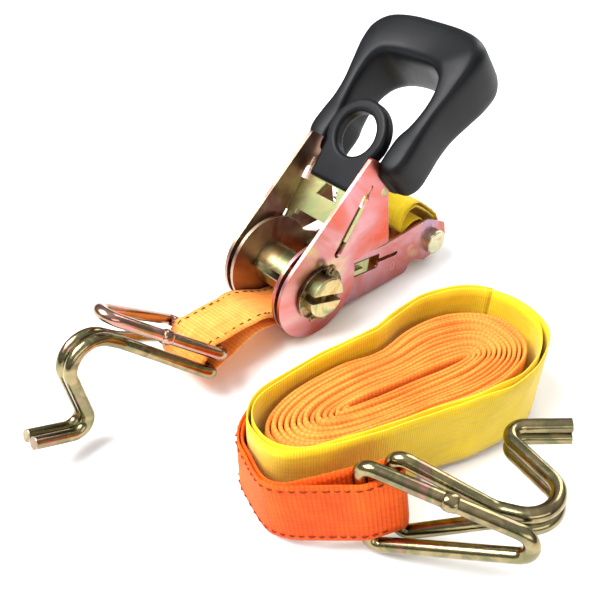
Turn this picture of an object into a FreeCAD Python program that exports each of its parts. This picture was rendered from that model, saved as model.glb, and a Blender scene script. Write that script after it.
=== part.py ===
import FreeCAD, Part
import math
import os

# Ratchet tie down, light 25 mm webbing class.  Millimetres, +Z up, spool axis along Y, near side is -Y.
# The frame is worked out round the spool centre and shifted at the end so that the
# bounding box stands centred on the origin with its lowest point at z = 0.

V = FreeCAD.Vector

# ---- driving dimensions -------------------------------------------------------------------
STRAP_W = 25.0            # webbing width
STRAP_T = 1.3             # one layer of webbing
GROUND = -22.3            # ground, measured from the spool centre
BASE_IN = 13.3            # inner face of the base side plates
BASE_T = 1.6
WHEEL_IN = 15.2           # inner face of the ratchet wheels
WHEEL_T = 1.7
HANDLE_IN = 17.2          # inner face of the handle side plates
HANDLE_T = 1.6
LOBE_R = 22.0
SPOOL_R = 9.5
RUN_FIT = 0.08            # radial running clearance on the spool
SPOOL_END = 25.1          # spool halves reach this far along Y
SPOOL_GAP = 3.6           # webbing slot between the halves
SLOT_TILT = -19.0         # tilt of the webbing slot in degrees
TEETH = 12
TOOTH_TIP = 19.4
TOOTH_ROOT = 15.6
BOLT_X, BOLT_Z = 83.0, -11.2
BOLT_R = 3.0
HANDLE_ANG = 40.0         # handle centre line above the ground
PAWL_REL = 13.0           # handle pawl line, measured from the handle centre line
BASE_PAWL_ANG = -7.0
PAWL_T = 2.4
GRIP_END = 126.0
GRIP_HALF = 30.8
WIRE_R = 2.5
RING_TIP = 66.4           # where the ring's two straight sides would meet
RING_HW = 18.2            # keeper ring, half width of the bar side
HOOK1_O = V(-52.9, -3.4, -5.2)
HOOK1_U = V(-0.746, -0.010, 0.666)
HOOK1_V = V(0.057, -0.997, 0.050)
HOOK2_O = V(-63.2, -106.8, -2.0)
HOOK2_U = V(0.407, -0.898, 0.166)
HOOK2_V = V(-0.024, 0.171, 0.985)
HOOK1_LEAVE = (-0.80, 0.60)   # way the webbing leaves the bars, along u and along w
HOOK2_LEAVE = (-0.906, 0.42)
HOOK1_NECK = 20.0             # bar centre to where the plain band starts
HOOK2_NECK = 21.0
HOOK1_EYE = (1.0, -8.4)       # hook eye bar, measured from the ring bar along u and w
HOOK2_EYE = (8.0, -7.0)
SLEEVE_W = 33.0           # width of the long strap's wear sleeve


def ang(deg):
    return math.radians(deg)


def plate(points, y0, y1):
    """Extruded XZ outline between two Y values."""
    pts = [V(x, y0, z) for x, z in points]
    face = Part.Face(Part.makePolygon(pts + [pts[0]]))
    return face.extrude(V(0, y1 - y0, 0))


def disc(x, z, r, y0, y1):
    return Part.makeCylinder(r, y1 - y0, V(x, y0, z), V(0, 1, 0))


def turned(shape, deg):
    """Rotate in the XZ plane, counter-clockwise seen from the near side (X toward Z)."""
    s = shape.copy()
    s.rotate(V(0, 0, 0), V(0, 1, 0), -deg)
    return s


def slot_box(r0, r1, half, y0, y1):
    """Radial slot along +X with rounded ends."""
    b = Part.makeBox(r1 - r0 - 2 * half, y1 - y0, 2 * half, V(r0 + half, y0, -half))
    b = b.fuse(disc(r0 + half, 0, half, y0, y1)).fuse(disc(r1 - half, 0, half, y0, y1))
    return b.removeSplitter()


def soften(shape, radius, pick):
    """Fillet the edges a test picks; the shape comes back unrounded if that fails."""
    edges = [e for e in shape.Edges if pick(e)]
    try:
        out = shape.makeFillet(radius, edges)
        if out.isValid() and out.Volume > 0.5 * shape.Volume:
            return out
    except Exception:
        pass
    return shape


def y_edge(e):
    a, b = e.firstVertex().Point, e.lastVertex().Point
    return abs(a.y - b.y) > 1.0 and abs(a.x - b.x) < 1e-4 and abs(a.z - b.z) < 1e-4


def mirror_y(shape):
    return shape.mirror(V(0, 0, 0), V(0, 1, 0))


# ---- base -------------------------------------------------------------------------------
def base_plate():
    y0, y1 = -BASE_IN - BASE_T, -BASE_IN
    body = disc(0, 0, LOBE_R, y0, y1)
    arm = plate([(0, 20), (14, 16.4), (20.2, 8.0), (30, 3.2), (46, 1.6), (78, 3.2), (92, -4), (94, -12), (90, -19.5),
                 (78, -21.0), (70, -17.0), (66, -17.0), (64.5, -22.0), (8, -20.6), (0, -15)], y0, y1)
    arm = soften(arm, 3.0, y_edge)
    s = body.fuse(arm).removeSplitter()
    s = s.cut(disc(0, 0, SPOOL_R + RUN_FIT, y0 - 1, y1 + 1))
    s = s.cut(disc(BOLT_X, BOLT_Z, BOLT_R, y0 - 1, y1 + 1))
    wide = Part.makeBox(21.0, 4, 8.0, V(22.5, y0 - 1, -4.0))
    wide = soften(wide, 1.2, y_edge)
    slit = slot_box(39, 57, 1.1, y0 - 1, y1 + 1)
    s = s.cut(turned(wide.fuse(slit), BASE_PAWL_ANG))
    for x in (52.6, ):
        s = s.cut(plate([(x, -15.4), (x + 2.0, -15.4), (x + 2.0, -11.4), (x, -11.4)], y0 - 1, y1 + 1))
    return s


def base_cross_plate():
    """Pressed cross plate joining the base sides; its tabs sit in both side plates."""
    body = plate([(52.6, -16.6), (54.6, -16.6), (54.6, 0.2), (52.6, 0.2)], -BASE_IN, BASE_IN)
    tab = plate([(52.6, -15.4), (54.6, -15.4), (54.6, -11.4), (52.6, -11.4)], -BASE_IN - BASE_T, BASE_IN + BASE_T)
    return body.fuse(tab).removeSplitter()


def base_guide():
    """Curled guide lip under the spool that carries the short strap out of the frame."""
    ri, ro = 20.0, 21.6
    ring = disc(0, 0, ro, -BASE_IN, BASE_IN).cut(disc(0, 0, ri, -BASE_IN - 1, BASE_IN + 1))
    keep = plate([(0, 0), (-30, -32), (-30, -40), (12, -40), (12, -23)], -BASE_IN, BASE_IN)
    s = ring.common(keep)
    return s


def anchor_bolt():
    shank = disc(BOLT_X, BOLT_Z, BOLT_R, -BASE_IN - BASE_T, BASE_IN + BASE_T + 6.4)
    head = disc(BOLT_X, BOLT_Z, 6.4, -BASE_IN - BASE_T - 3.8, -BASE_IN - BASE_T)
    head = soften(head, 1.2, lambda e: e.Closed and abs(e.BoundBox.YMin + BASE_IN + BASE_T + 3.8) < 0.01)
    return head.fuse(shank).removeSplitter()


def anchor_nut():
    pts = [(BOLT_X + 6.2 * math.cos(ang(a)), BOLT_Z + 6.2 * math.sin(ang(a))) for a in range(0, 360, 60)]
    y0 = BASE_IN + BASE_T
    nut = plate(pts, y0, y0 + 4.6)
    return nut.cut(disc(BOLT_X, BOLT_Z, BOLT_R, y0 - 1, y0 + 6))


# ---- spool --------------------------------------------------------------------------------
def spool_half(upper):
    cyl = disc(0, 0, SPOOL_R, -SPOOL_END, SPOOL_END)
    cyl = cyl.makeChamfer(0.7, [e for e in cyl.Edges if e.Closed])
    big = 30
    g = SPOOL_GAP / 2
    if upper:
        box = Part.makeBox(2 * big, 4 * big, big, V(-big, -2 * big, g))
    else:
        box = Part.makeBox(2 * big, 4 * big, big, V(-big, -2 * big, -g - big))
    s = cyl.common(box)
    for y in (-22.0, 22.0):
        s = s.cut(Part.makeCylinder(1.25, 40, V(0, y, -20), V(0, 0, 1)))
    return turned(s, SLOT_TILT)


def cotter(y):
    """Split pin through both spool halves with an eye on top and spread legs below."""
    leg = Part.makeCylinder(1.2, 2 * SPOOL_R + 1.6, V(0, y, -SPOOL_R - 0.8), V(0, 0, 1))
    eye = Part.makeTorus(2.0, 0.8, V(0, y, SPOOL_R + 2.6), V(0, 1, 0))
    tail = Part.makeCylinder(0.8, 4.5, V(0, y, -SPOOL_R - 0.9), V(0.9, 0, -0.25))
    tail2 = Part.makeCylinder(0.8, 4.5, V(0, y, -SPOOL_R - 0.9), V(-0.9, 0, -0.25))
    s = leg.fuse([eye, tail, tail2]).removeSplitter()
    return turned(s, SLOT_TILT)


def spool_washer(y0, y1):
    s = disc(0, 0, 12.4, y0, y1)
    return s.cut(disc(0, 0, SPOOL_R, y0 - 1, y1 + 1))


def wheel(y0, y1):
    pts = []
    step = 360.0 / TEETH
    for i in range(TEETH):
        c = BASE_PAWL_ANG + i * step            # a gullet centred on the base pawl
        for da, r in ((-7.5, TOOTH_ROOT), (7.5, TOOTH_ROOT), (11.5, TOOTH_TIP), (16.5, TOOTH_TIP)):
            pts.append((r * math.cos(ang(c + da)), r * math.sin(ang(c + da))))
    s = plate(pts, y0, y1)
    return s.cut(disc(0, 0, SPOOL_R, y0 - 1, y1 + 1))


# ---- handle -------------------------------------------------------------------------------
HANDLE_SIDE = [(0, 22.3), (57.0, 22.3), (59.5, 12.5), (70, 12.0), (72.5, 9.5), (72.5, -1.5), (70, -4.0), (66, -4.0),
               (56, -1.5), (53.5, 0), (38.2, -23.4), (19.9, -8.8), (4, 0), (0, 10)]
TUBE_HALF = 24.0


def handle_plate():
    y0, y1 = -HANDLE_IN - HANDLE_T, -HANDLE_IN
    lobe = disc(0, 0, LOBE_R + 0.3, y0, y1)
    arm = plate(HANDLE_SIDE, y0, y1)
    arm = soften(arm, 1.5, y_edge)
    s = lobe.fuse(arm).removeSplitter()
    s = s.cut(disc(0, 0, SPOOL_R + RUN_FIT, y0 - 1, y1 + 1))
    slot = slot_box(16.6, 46.8, 2.1, y0 - 1, y1 + 1).fuse(slot_box(43, 51, 0.9, y0 - 1, y1 + 1))
    s = s.cut(turned(slot, PAWL_REL))
    s = s.cut(disc(52, 2, 2.0, y0 - 1, y1 + 1))
    return s


def handle_cross_tube():
    """Steel tube moulded into the rubber end bar."""
    o = disc(115, 3, 4.0, -TUBE_HALF, TUBE_HALF)
    return o.cut(disc(115, 3, 2.6, -30, 30))


def handle_spring_rod():
    """Rivet rod between the handle sides; the pawl spring leans on it."""
    return disc(52, 2, 2.0, -HANDLE_IN - HANDLE_T, HANDLE_IN + HANDLE_T)


LEG_IN = 16.2             # inner face of the grip's legs where they cover the side plates
OPEN_HALF = 19.6          # half width of the opening beyond the side plates


def grip_outline():
    """Half outline in the handle plane: distance along the handle against half width."""
    return [(54.5, 20.6), (56.5, 24.5), (61.0, 26.8), (70.0, 26.8), (80.0, 26.6), (92.0, 28.0), (103.0, 30.0),
            (112.0, GRIP_HALF), (119.5, 28.4), (124.4, 22.0), (126.4, 12.0)]


def grip():
    half = grip_outline()
    pts = [V(a, -h, 0) for a, h in half]
    other = [V(a, h, 0) for a, h in reversed(half)]
    c1 = Part.BSplineCurve()
    c1.interpolate(pts)
    c2 = Part.BSplineCurve()
    c2.interpolate(other)
    end = Part.Arc(pts[-1], V(GRIP_END + 1.6, 0, 0), other[0]).toShape()
    low = Part.makeLine(other[-1], pts[0])
    wire = Part.Wire([c1.toShape(), end, c2.toShape(), low])
    block = Part.Face(wire).extrude(V(0, 0, 50))
    block.translate(V(0, 0, -25))
    # side profile (along, perp): shallow waist, deeper rounded end
    side_top = [V(50, -60, 14.0), V(62, -60, 15.6), V(82, -60, 15.2), V(98, -60, 17.0), V(112, -60, 19.0),
                V(124, -60, 16.6)]
    side_bot = [V(124, -60, -11.0), V(115, -60, -13.6), V(98, -60, -9.8), V(82, -60, -7.6), V(64, -60, -7.4),
                V(50, -60, -5.0)]
    t = Part.BSplineCurve()
    t.interpolate(side_top)
    b = Part.BSplineCurve()
    b.interpolate(side_bot)
    e1 = Part.Arc(side_top[-1], V(GRIP_END + 2.0, -60, 3), side_bot[0]).toShape()
    e2 = Part.makeLine(side_bot[-1], side_top[0])
    prof = Part.Face(Part.Wire([t.toShape(), e1, b.toShape(), e2])).extrude(V(0, 120, 0))
    s = block.common(prof)
    # opening, open toward the spool so that the finger pull runs between the legs
    o = Part.makeBox(30, 2 * LEG_IN, 60, V(50, -LEG_IN, -30))
    wide = Part.makeBox(29, 2 * OPEN_HALF, 60, V(77, -OPEN_HALF, -30))
    wide = soften(wide, 9.0, lambda e: abs(e.firstVertex().Point.z - e.lastVertex().Point.z) > 5
                  and e.firstVertex().Point.x > 100)
    s = s.cut(o.fuse(wide).removeSplitter())
    return s


def to_handle(shape):
    return turned(shape, HANDLE_ANG)


def grip_rounded():
    s = grip()
    for r in (2.6, 1.8, 1.0):
        try:
            f = s.makeFillet(r, [e for e in s.Edges if e.Length > 20 and
                                 (abs(e.BoundBox.ZMax - e.BoundBox.ZMin) < 9)])
            if f.isValid():
                s = f
                break
        except Exception:
            continue
    # pockets that take the side plates and the tube
    hp = handle_plate_solid_pocket()
    s = s.cut(hp).cut(mirror_y(hp))
    return s.cut(disc(115, 3, 4.0, -TUBE_HALF, TUBE_HALF))


def handle_plate_solid_pocket():
    y0, y1 = -HANDLE_IN - HANDLE_T, -HANDLE_IN
    arm = plate(HANDLE_SIDE, y0, y1)
    return soften(arm, 1.5, y_edge)


# ---- pawls (modelled along +X, the teeth side toward the origin) -----------------------------
def pawl_blank(r_ear, r_body, r_end, half_body, ear_out):
    """Flat pawl: two ears in line with the wheels, joined by a body set further out."""
    t = PAWL_T / 2
    body = Part.makeBox(r_end - r_body, 2 * half_body, PAWL_T, V(r_body, -half_body, -t))
    for sgn in (-1, 1):
        y = -ear_out if sgn < 0 else WHEEL_IN
        ear = Part.makeBox(r_body + 6 - r_ear, ear_out - WHEEL_IN, PAWL_T, V(r_ear, y, -t))
        nose = plate([(r_ear, -t), (r_ear, t), (r_ear - 1.6, 0.4), (r_ear - 1.6, -0.4)], y, y + ear_out - WHEEL_IN)
        body = body.fuse(ear).fuse(nose)
        bridge_y = -ear_out if sgn < 0 else half_body - 1
        bridge = Part.makeBox(6, ear_out - half_body + 1, PAWL_T, V(r_body, bridge_y, -t))
        body = body.fuse(bridge)
    return body.removeSplitter()


def base_pawl():
    s = pawl_blank(18.0, 24.4, 36.0, 12.9, 17.0)
    for sgn in (-1, 1):
        y = -BASE_IN - BASE_T + 0.1 if sgn < 0 else 12.7
        s = s.fuse(Part.makeBox(11.4, 2.1, 6.6, V(24.6, y, -3.3)))
    s = s.fuse(Part.makeCylinder(1.6, 5, V(36.0, 0, 0), V(1, 0, 0)))
    return turned(s.removeSplitter(), BASE_PAWL_ANG)


def handle_pawl():
    s = pawl_blank(21.4, 27.0, 50.0, 12.6, 17.0)
    for sgn in (-1, 1):
        y = -HANDLE_IN - HANDLE_T - 0.5 if sgn < 0 else 12.0
        s = s.fuse(Part.makeBox(16.0, HANDLE_IN + HANDLE_T + 0.5 - 12.0, PAWL_T, V(24.5, y, -PAWL_T / 2)))
    # punched trapezoid window and a folded lug for the spring
    hole = Part.Face(Part.makePolygon([V(37.0, -6.0, -3), V(43.0, -3.6, -3), V(43.0, 3.6, -3), V(37.0, 6.0, -3),
                                       V(37.0, -6.0, -3)])).extrude(V(0, 0, 6))
    s = s.cut(hole)
    s = s.fuse(Part.makeBox(2.0, 9.0, 10.5, V(33.6, -4.5, -11.6)))
    return turned(s.removeSplitter(), HANDLE_ANG + PAWL_REL)


def finger_pull():
    """Rubber tongue moulded over the pawl plate with a round finger hole."""
    tongue = Part.makeBox(25, 27.0, 7.0, V(43.5, -13.5, -3.5))
    ringd = Part.makeCylinder(15.6, 7.0, V(67.5, 0, -3.5), V(0, 0, 1))
    s = tongue.fuse(ringd).removeSplitter()
    s = s.cut(Part.makeCylinder(10.0, 20, V(67.5, 0, -10), V(0, 0, 1)))
    for r in (1.8, 1.0):
        try:
            f = s.makeFillet(r, [e for e in s.Edges if abs(e.BoundBox.ZMax - e.BoundBox.ZMin) < 0.1])
            if f.isValid():
                s = f
                break
        except Exception:
            continue
    s = s.cut(Part.makeBox(50.0 - 27.0, 25.2, PAWL_T, V(27.0, -12.6, -PAWL_T / 2)))
    return turned(s, HANDLE_ANG + PAWL_REL)


def coil(length, r_mean, r_wire, turns):
    """Compression spring along +X from the origin."""
    helix = Part.makeHelix((length - 2 * r_wire) / turns, length - 2 * r_wire, r_mean)
    start = V(r_mean, 0, 0)
    circ = Part.Wire([Part.makeCircle(r_wire, start, V(0, 1, 0.2))])
    s = Part.Wire(helix.Edges).makePipeShell([circ], True, True)
    s.translate(V(0, 0, r_wire))
    s.rotate(V(0, 0, 0), V(0, 1, 0), 90)
    return s


def base_pawl_spring():
    s = coil(15.4, 2.6, 0.45, 7)
    s.translate(V(36.2, 0, 0))
    return turned(s, BASE_PAWL_ANG)


def handle_pawl_spring():
    s = coil(13.1, 2.6, 0.45, 6)
    s.translate(V(35.8, 0, -8.2))
    return turned(s, HANDLE_ANG + PAWL_REL)


# ---- webbing --------------------------------------------------------------------------------
def ribbon(path, widths, thick, ups=None):
    """Closed band lofted through rectangles: path of points, a width direction at each one."""
    wires = []
    n = len(path)
    for i in range(n):
        a = path[max(0, i - 1)]
        b = path[min(n - 1, i + 1)]
        t = (b - a).normalize()
        w = widths[i]
        w = (w - t * w.dot(t)).normalize()
        nrm = t.cross(w).normalize()
        hw, ht = STRAP_W / 2, thick / 2
        c = path[i]
        p = [c + w * hw + nrm * ht, c - w * hw + nrm * ht, c - w * hw - nrm * ht, c + w * hw - nrm * ht]
        wires.append(Part.makePolygon(p + [p[0]]))
    return Part.makeLoft(wires, True, False)


def hook_dirs(u, v):
    u = V(u).normalize()
    v = (v - u * v.dot(u)).normalize()
    return u, v, u.cross(v)


def leave_dir(leave, u, w):
    return (u * leave[0] + w * leave[1]).normalize()


def short_strap():
    """Doubled band: anchor bolt, under the frame, out past the guide lip, turned round the hook bars."""
    u, v, w = hook_dirs(HOOK1_U, HOOK1_V)
    d = leave_dir(HOOK1_LEAVE, u, w)
    bar = HOOK1_O
    t2 = 2 * STRAP_T + 0.2
    yv = V(0, -1, 0)
    path = [V(76.0, 0, -16.9), V(66, 0, -18.6), V(56, 0, -19.4), V(46, 0, -19.7), V(36, 0, -19.4), V(26, 0, -18.8),
            V(16, 0, -17.4), V(7, 0, -15.6), V(-2, 0, -14.0), V(-11, 0, -12.4), V(-20, 0, -10.4)]
    wid = [yv] * len(path)
    end = bar + d * (HOOK1_NECK + 1.9)
    # blend from the frame direction to the bar direction
    p0, p3 = path[-1], end
    gap = (p3 - p0).Length
    p1 = p0 + V(-0.97, 0, 0.24) * (gap * 0.4)
    p2 = p3 + d * (gap * 0.4)
    for k in range(1, 4):
        s = k / 3.0
        q = p0 * ((1 - s) ** 3) + p1 * (3 * s * (1 - s) ** 2) + p2 * (3 * s * s * (1 - s)) + p3 * (s ** 3)
        path.append(q)
        m = s * s * (3 - 2 * s)
        wid.append((yv * (1 - m) + v * m).normalize())
    band = ribbon(path, wid, t2)
    return band


def bolt_loop():
    """The band's turn round the anchor bolt."""
    ro, ri = BOLT_R + 0.2 + STRAP_T, BOLT_R + 0.2
    y0, y1 = -STRAP_W / 2, STRAP_W / 2
    ring = disc(BOLT_X, BOLT_Z, ro, y0, y1)
    tail = plate([(BOLT_X - 1.0, BOLT_Z - ro), (BOLT_X - 3.4, BOLT_Z + 2.6), (75.6, -15.6), (76.0, -18.2)], y0, y1)
    s = ring.fuse(tail)
    return s.cut(disc(BOLT_X, BOLT_Z, ri, y0 - 1, y1 + 1)).removeSplitter()


def bar_loop(origin, u, v, leave, neck_len, eye):
    """Webbing turn that holds both hook bars; leave is the direction (along u, along w) it goes off in."""
    hw = STRAP_W / 2
    r = WIRE_R + 0.4
    ro = r + STRAP_T
    c = [(0.0, 0.0), eye]
    dl = math.hypot(leave[0], leave[1])
    dx, dz = leave[0] / dl, leave[1] / dl
    ex, ez = -dz, dx

    def band(rad):
        out = [Part.makeCylinder(rad, 2 * hw, V(x, -hw, z), V(0, 1, 0)) for x, z in c]
        d = math.hypot(eye[0], eye[1])
        nx, nz = -eye[1] / d, eye[0] / d
        quad = [(c[0][0] + nx * rad, c[0][1] + nz * rad), (c[1][0] + nx * rad, c[1][1] + nz * rad),
                (c[1][0] - nx * rad, c[1][1] - nz * rad), (c[0][0] - nx * rad, c[0][1] - nz * rad)]
        return out + [plate(quad, -hw, hw)]

    hi = max(c, key=lambda p: p[0] * ex + p[1] * ez)
    lo = min(c, key=lambda p: p[0] * ex + p[1] * ez)
    h = STRAP_T + 0.1
    nx, nz = dx * neck_len, dz * neck_len
    neck = plate([(hi[0] + ex * (ro - 0.05), hi[1] + ez * (ro - 0.05)), (nx + ex * h, nz + ez * h),
                  (nx - ex * h, nz - ez * h), (lo[0] - ex * (ro - 0.05), lo[1] - ez * (ro - 0.05))], -hw, hw)
    body = neck.fuse(band(ro)).removeSplitter()
    first = band(r)
    inner = first[0].fuse(first[1:])
    return place(body.cut(inner), origin, u, v)


def place(shape, origin, u, v):
    """Put a part drawn with +X=u, +Y=v on a hook's own axes."""
    u, v, w = hook_dirs(u, v)
    m = FreeCAD.Matrix(u.x, v.x, w.x, origin.x, u.y, v.y, w.y, origin.y, u.z, v.z, w.z, origin.z, 0, 0, 0, 1)
    s = shape.copy()
    s.transformShape(m)
    return s


def anchor_sleeve():
    """Bunched wear sleeve pushed up against the anchor bolt."""
    y0, y1 = -12.9, 12.9
    out = [(57.5, 3.0), (60.0, 11.5), (66.0, 15.6), (74.0, 14.0), (81.0, 8.4), (88.5, 1.0), (91.5, -7.0), (90.5, -14.0),
           (85.0, -19.2), (77.0, -19.6), (72.0, -14.6), (70.0, -6.0), (64.0, -1.0)]
    pts = [V(x, y0, z) for x, z in out]
    c = Part.BSplineCurve()
    c.interpolate(pts, True)
    s = Part.Face(Part.Wire(c.toShape())).extrude(V(0, y1 - y0, 0))
    s = s.cut(disc(BOLT_X, BOLT_Z, BOLT_R + 0.4 + STRAP_T, y0 - 1, y1 + 1))
    s = s.cut(plate([(BOLT_X, BOLT_Z - 4.9), (BOLT_X - 3.6, BOLT_Z + 3.4), (74.6, -13.0), (60, -12), (60, -24),
                     (76.0, -24.0), (78.2, -18.7)], y0 - 1, y1 + 1))
    return s


# ---- hooks ----------------------------------------------------------------------------------
def round_wire(points, radius, bend, closed=False):
    """Wire of round section swept along straight legs with rounded corners."""
    pts = [V(p) for p in points]
    n = len(pts)
    idx = range(n) if closed else range(1, n - 1)
    corner = {}
    for i in idx:
        a, b, c = pts[i - 1], pts[i], pts[(i + 1) % n]
        d1, d2 = (a - b).normalize(), (c - b).normalize()
        half = math.acos(max(-1, min(1, d1.dot(d2)))) / 2
        r = bend[i] if isinstance(bend, (list, tuple)) else bend
        cut = r / math.tan(half)
        t1, t2 = b + d1 * cut, b + d2 * cut
        mid_dir = (d1 + d2).normalize()
        centre = b + mid_dir * (r / math.sin(half))
        corner[i] = (t1, centre - mid_dir * r, t2)
    edges = []
    if closed:
        for i in range(n):
            j = (i + 1) % n
            edges.append(Part.Arc(*corner[i]).toShape())
            edges.append(Part.makeLine(corner[i][2], corner[j][0]))
        start, d0 = corner[0][2], (corner[1][0] - corner[0][2]).normalize()
        edges = edges[1:] + edges[:1]
    else:
        prev = pts[0]
        for i in range(1, n - 1):
            edges.append(Part.makeLine(prev, corner[i][0]))
            edges.append(Part.Arc(*corner[i]).toShape())
            prev = corner[i][2]
        edges.append(Part.makeLine(prev, pts[-1]))
        start, d0 = pts[0], (pts[1] - pts[0]).normalize()
    path = Part.Wire(edges)
    circ = Part.Wire([Part.makeCircle(radius, start, d0)])
    return path.makePipeShell([circ], True, False)


def keeper_ring():
    """Closed triangle of wire, bar side across the webbing."""
    pts = [(0, -RING_HW, 0), (0, RING_HW, 0), (RING_TIP, 0, 0)]
    return round_wire(pts, WIRE_R, [4.0, 4.0, 5.5], closed=True)


def wire_hook(eye):
    """One wire bent back on itself: eye bar, two sides drawn together, a double hook with both ends at the tip."""
    h = 2.62
    hw = RING_HW
    side = [(eye[0], -hw, eye[1]), (39.0, -h, -8.4), (55.0, -h, -8.4), (56.0, -h, -22.6), (32.4, -h, -43.8),
            (56.0, -h, -51.0)]
    near = [V(p) for p in side]
    far = [V(p[0], -p[1], p[2]) for p in side]
    pts = list(reversed(near)) + far
    b = [0, 5.5, 9.0, 10.0, 9.0, 3.4, 3.4, 9.0, 10.0, 9.0, 5.5, 0]
    return round_wire(pts, WIRE_R, b)


# ---- rolled strap ---------------------------------------------------------------------------
ROLL_C = V(-16.4, -81.0, 0)
ROLL_YAW = -10.0
ROLL_LEN, ROLL_WID = 118.0, 44.0
SLEEVE_OUT = 3.4              # the sleeve's outer face stands this far off the wound strap


def roll_loop(grow):
    """Plan outline of the roll: a long oval, slightly waisted on its back, fuller to the right."""
    L, W = ROLL_LEN / 2 + grow, ROLL_WID / 2 + grow
    pts = []
    n = 40
    for i in range(n):
        a = 2 * math.pi * i / n
        ca, sa = math.cos(a), math.sin(a)
        x = L * math.copysign(abs(ca) ** 0.72, ca)
        y = W * math.copysign(abs(sa) ** 0.80, sa)
        y *= 1.0 + (0.24 if x > 0 else 0.12) * math.tanh(x / 30.0)
        if sa > 0:
            y -= 4.2 * math.exp(-((x - 3.0) / 15.0) ** 2)
        pts.append((x, y))
    return pts


def flat_loop(points, z0, z1):
    c = Part.BSplineCurve()
    c.interpolate([V(x, y, z0) for x, y in points], True)
    return Part.Face(Part.Wire(c.toShape())).extrude(V(0, 0, z1 - z0))


def on_roll(shape):
    s = shape.copy()
    s.rotate(V(0, 0, 0), V(0, 0, 1), ROLL_YAW)
    s.translate(V(ROLL_C.x, ROLL_C.y, GROUND))
    return s


def strap_roll():
    s = flat_loop(roll_loop(0), 3.0, 3.0 + STRAP_W)
    slit = Part.makeBox(52, 1.2, 40, V(-26, -0.6, -2))
    slit = slit.fuse(Part.makeBox(7, 3.0, 40, V(24, -1.5, -2)))
    slit.rotate(V(0, 0, 0), V(0, 0, 1), -5.0)
    return on_roll(s.cut(slit))


def roll_sleeve():
    o = flat_loop(roll_loop(SLEEVE_OUT), 1.6, 1.6 + SLEEVE_W)
    i = flat_loop(roll_loop(0.3), 0.0, 40.0)
    return on_roll(o.cut(i))


def roll_outer_turn():
    """Outermost turn of bare webbing: from the back of the roll round its left end to the hook bars."""
    u, v, w = hook_dirs(HOOK2_U, HOOK2_V)
    d = leave_dir(HOOK2_LEAVE, u, w)
    a = ang(ROLL_YAW)
    z = GROUND + 0.3 + STRAP_W / 2
    path = []
    for x, y in roll_loop(SLEEVE_OUT + 1.2 + STRAP_T)[11:21]:
        path.append(V(ROLL_C.x + x * math.cos(a) - y * math.sin(a), ROLL_C.y + x * math.sin(a) + y * math.cos(a), z))
    wid = [V(0, 0, 1)] * len(path)
    last, run = path[-1], (path[-1] - path[-2]).normalize()
    end = HOOK2_O + d * (HOOK2_NECK + 0.8)
    gap = (end - last).Length
    p1, p2 = last + run * gap * 0.4, end + d * gap * 0.4
    for k in range(1, 9):
        s = k / 8.0
        path.append(last * ((1 - s) ** 3) + p1 * (3 * s * (1 - s) ** 2) + p2 * (3 * s * s * (1 - s)) + end * (s ** 3))
        wid.append((V(0, 0, 1) * (1 - s) + v * s).normalize())
    return ribbon(path, wid, 2 * STRAP_T + 0.2)


# ---- assemble ---------------------------------------------------------------------------------
def build():
    nodes = {}
    bp = base_plate()
    nodes["base_plate_near"] = bp
    nodes["base_plate_far"] = mirror_y(bp)
    nodes["base_cross_plate"] = base_cross_plate()
    nodes["base_guide"] = base_guide()
    nodes["anchor_bolt"] = anchor_bolt()
    nodes["anchor_nut"] = anchor_nut()
    nodes["short_strap"] = short_strap().fuse(bolt_loop()).removeSplitter()
    nodes["short_strap_eye"] = bar_loop(HOOK1_O, HOOK1_U, HOOK1_V, HOOK1_LEAVE, HOOK1_NECK, HOOK1_EYE)
    nodes["anchor_sleeve"] = anchor_sleeve()
    nodes["base_pawl"] = base_pawl()
    nodes["base_pawl_spring"] = base_pawl_spring()
    nodes["spool_half_upper"] = spool_half(True)
    nodes["spool_half_lower"] = spool_half(False)
    w = wheel(-WHEEL_IN - WHEEL_T, -WHEEL_IN)
    nodes["ratchet_wheel_near"] = w
    nodes["ratchet_wheel_far"] = mirror_y(w)
    nodes["spool_washer_near"] = spool_washer(-20.4, -19.1)
    nodes["spool_washer_far"] = spool_washer(19.1, 20.4)
    nodes["split_pin_near"] = cotter(-22.0)
    nodes["split_pin_far"] = cotter(22.0)
    hp = to_handle(handle_plate())
    nodes["handle_plate_near"] = hp
    nodes["handle_plate_far"] = mirror_y(hp)
    nodes["handle_cross_tube"] = to_handle(handle_cross_tube())
    nodes["handle_spring_rod"] = to_handle(handle_spring_rod())
    nodes["grip"] = to_handle(grip_rounded())
    nodes["handle_pawl"] = handle_pawl()
    nodes["finger_pull"] = finger_pull()
    nodes["handle_pawl_spring"] = handle_pawl_spring()
    ring = keeper_ring()
    nodes["short_hook_ring"] = place(ring, HOOK1_O, HOOK1_U, HOOK1_V)
    nodes["short_hook_wire"] = place(wire_hook(HOOK1_EYE), HOOK1_O, HOOK1_U, HOOK1_V)
    nodes["long_hook_ring"] = place(ring, HOOK2_O, HOOK2_U, HOOK2_V)
    nodes["long_hook_wire"] = place(wire_hook(HOOK2_EYE), HOOK2_O, HOOK2_U, HOOK2_V)
    nodes["strap_roll"] = strap_roll()
    nodes["roll_sleeve"] = roll_sleeve()
    nodes["roll_outer_turn"] = roll_outer_turn()
    nodes["long_strap_eye"] = bar_loop(HOOK2_O, HOOK2_U, HOOK2_V, HOOK2_LEAVE, HOOK2_NECK, HOOK2_EYE)
    return nodes


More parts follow.
